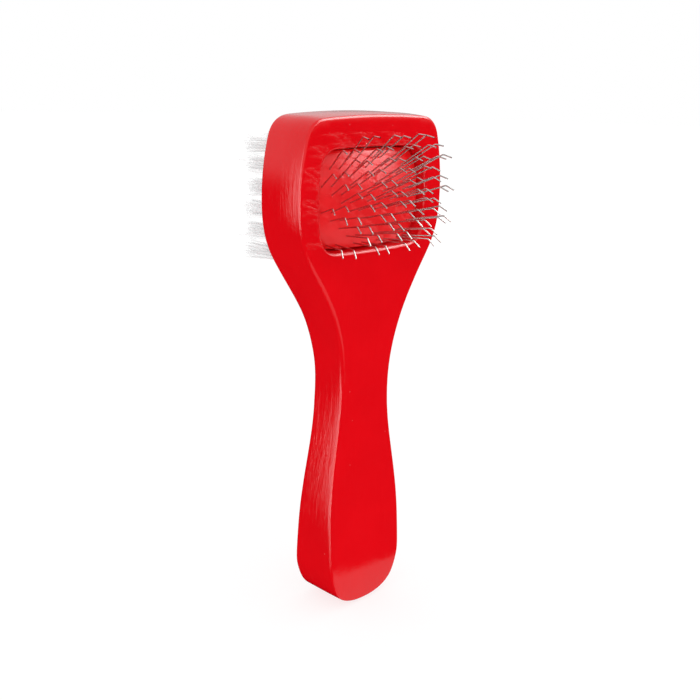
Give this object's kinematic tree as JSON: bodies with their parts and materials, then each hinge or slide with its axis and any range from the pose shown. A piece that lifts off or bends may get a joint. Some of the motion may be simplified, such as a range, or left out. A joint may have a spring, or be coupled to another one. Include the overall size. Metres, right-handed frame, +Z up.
{
  "type": "slicker brush",
  "caption": "Small double-sided pet grooming brush: lacquered wooden handle and head, cushioned pad of hooked wire pins on the front, nylon bristle tufts on the back.",
  "frame": {"origin": "end of the handle's butt, on the centre line and midway through the handle's thickness", "axes": "+Z runs up the handle to the head, +X is the width, the wire pins face -Y and the nylon tufts face +Y"},
  "size_m": [0.0504, 0.0369, 0.1305],
  "materials": {
    "lacquered_wood": "gloss red lacquer",
    "pad_rubber": "smooth, slightly glossy",
    "backing_cloth": "woven",
    "foam": "open-cell foam",
    "adhesive": "dry adhesive film",
    "pin_wire": "bright drawn wire",
    "nylon": "translucent nylon filament",
    "anchor_metal": "flat drawn"
  },
  "bodies": {
    "brush": {"wooden_body": "lacquered_wood", "cushion_adhesive": "adhesive", "foam_cushion": "foam", "tuft_row_1": "nylon", "tuft_row_2": "nylon", "tuft_row_3": "nylon", "tuft_row_4": "nylon", "tuft_row_5": "nylon", "tuft_row_6": "nylon", "tuft_anchor_row_1": "anchor_metal", "tuft_anchor_row_2": "anchor_metal", "tuft_anchor_row_3": "anchor_metal", "tuft_anchor_row_4": "anchor_metal", "tuft_anchor_row_5": "anchor_metal", "tuft_anchor_row_6": "anchor_metal"},
    "pad": {"rubber_face": "pad_rubber", "pad_backing": "backing_cloth", "pin_row_01": "pin_wire", "pin_row_02": "pin_wire", "pin_row_03": "pin_wire", "pin_row_04": "pin_wire", "pin_row_05": "pin_wire", "pin_row_06": "pin_wire", "pin_row_07": "pin_wire", "pin_row_08": "pin_wire", "pin_row_09": "pin_wire", "pin_row_10": "pin_wire", "pin_row_11": "pin_wire"}
  },
  "joints": [
    {"name": "pad_press", "type": "slide", "parent": "brush", "child": "pad", "axis": [0, 1, 0], "range_m": [0, 0.0012], "stiffness_N_per_m": 2500, "deforming": ["foam_cushion"]}
  ]
}
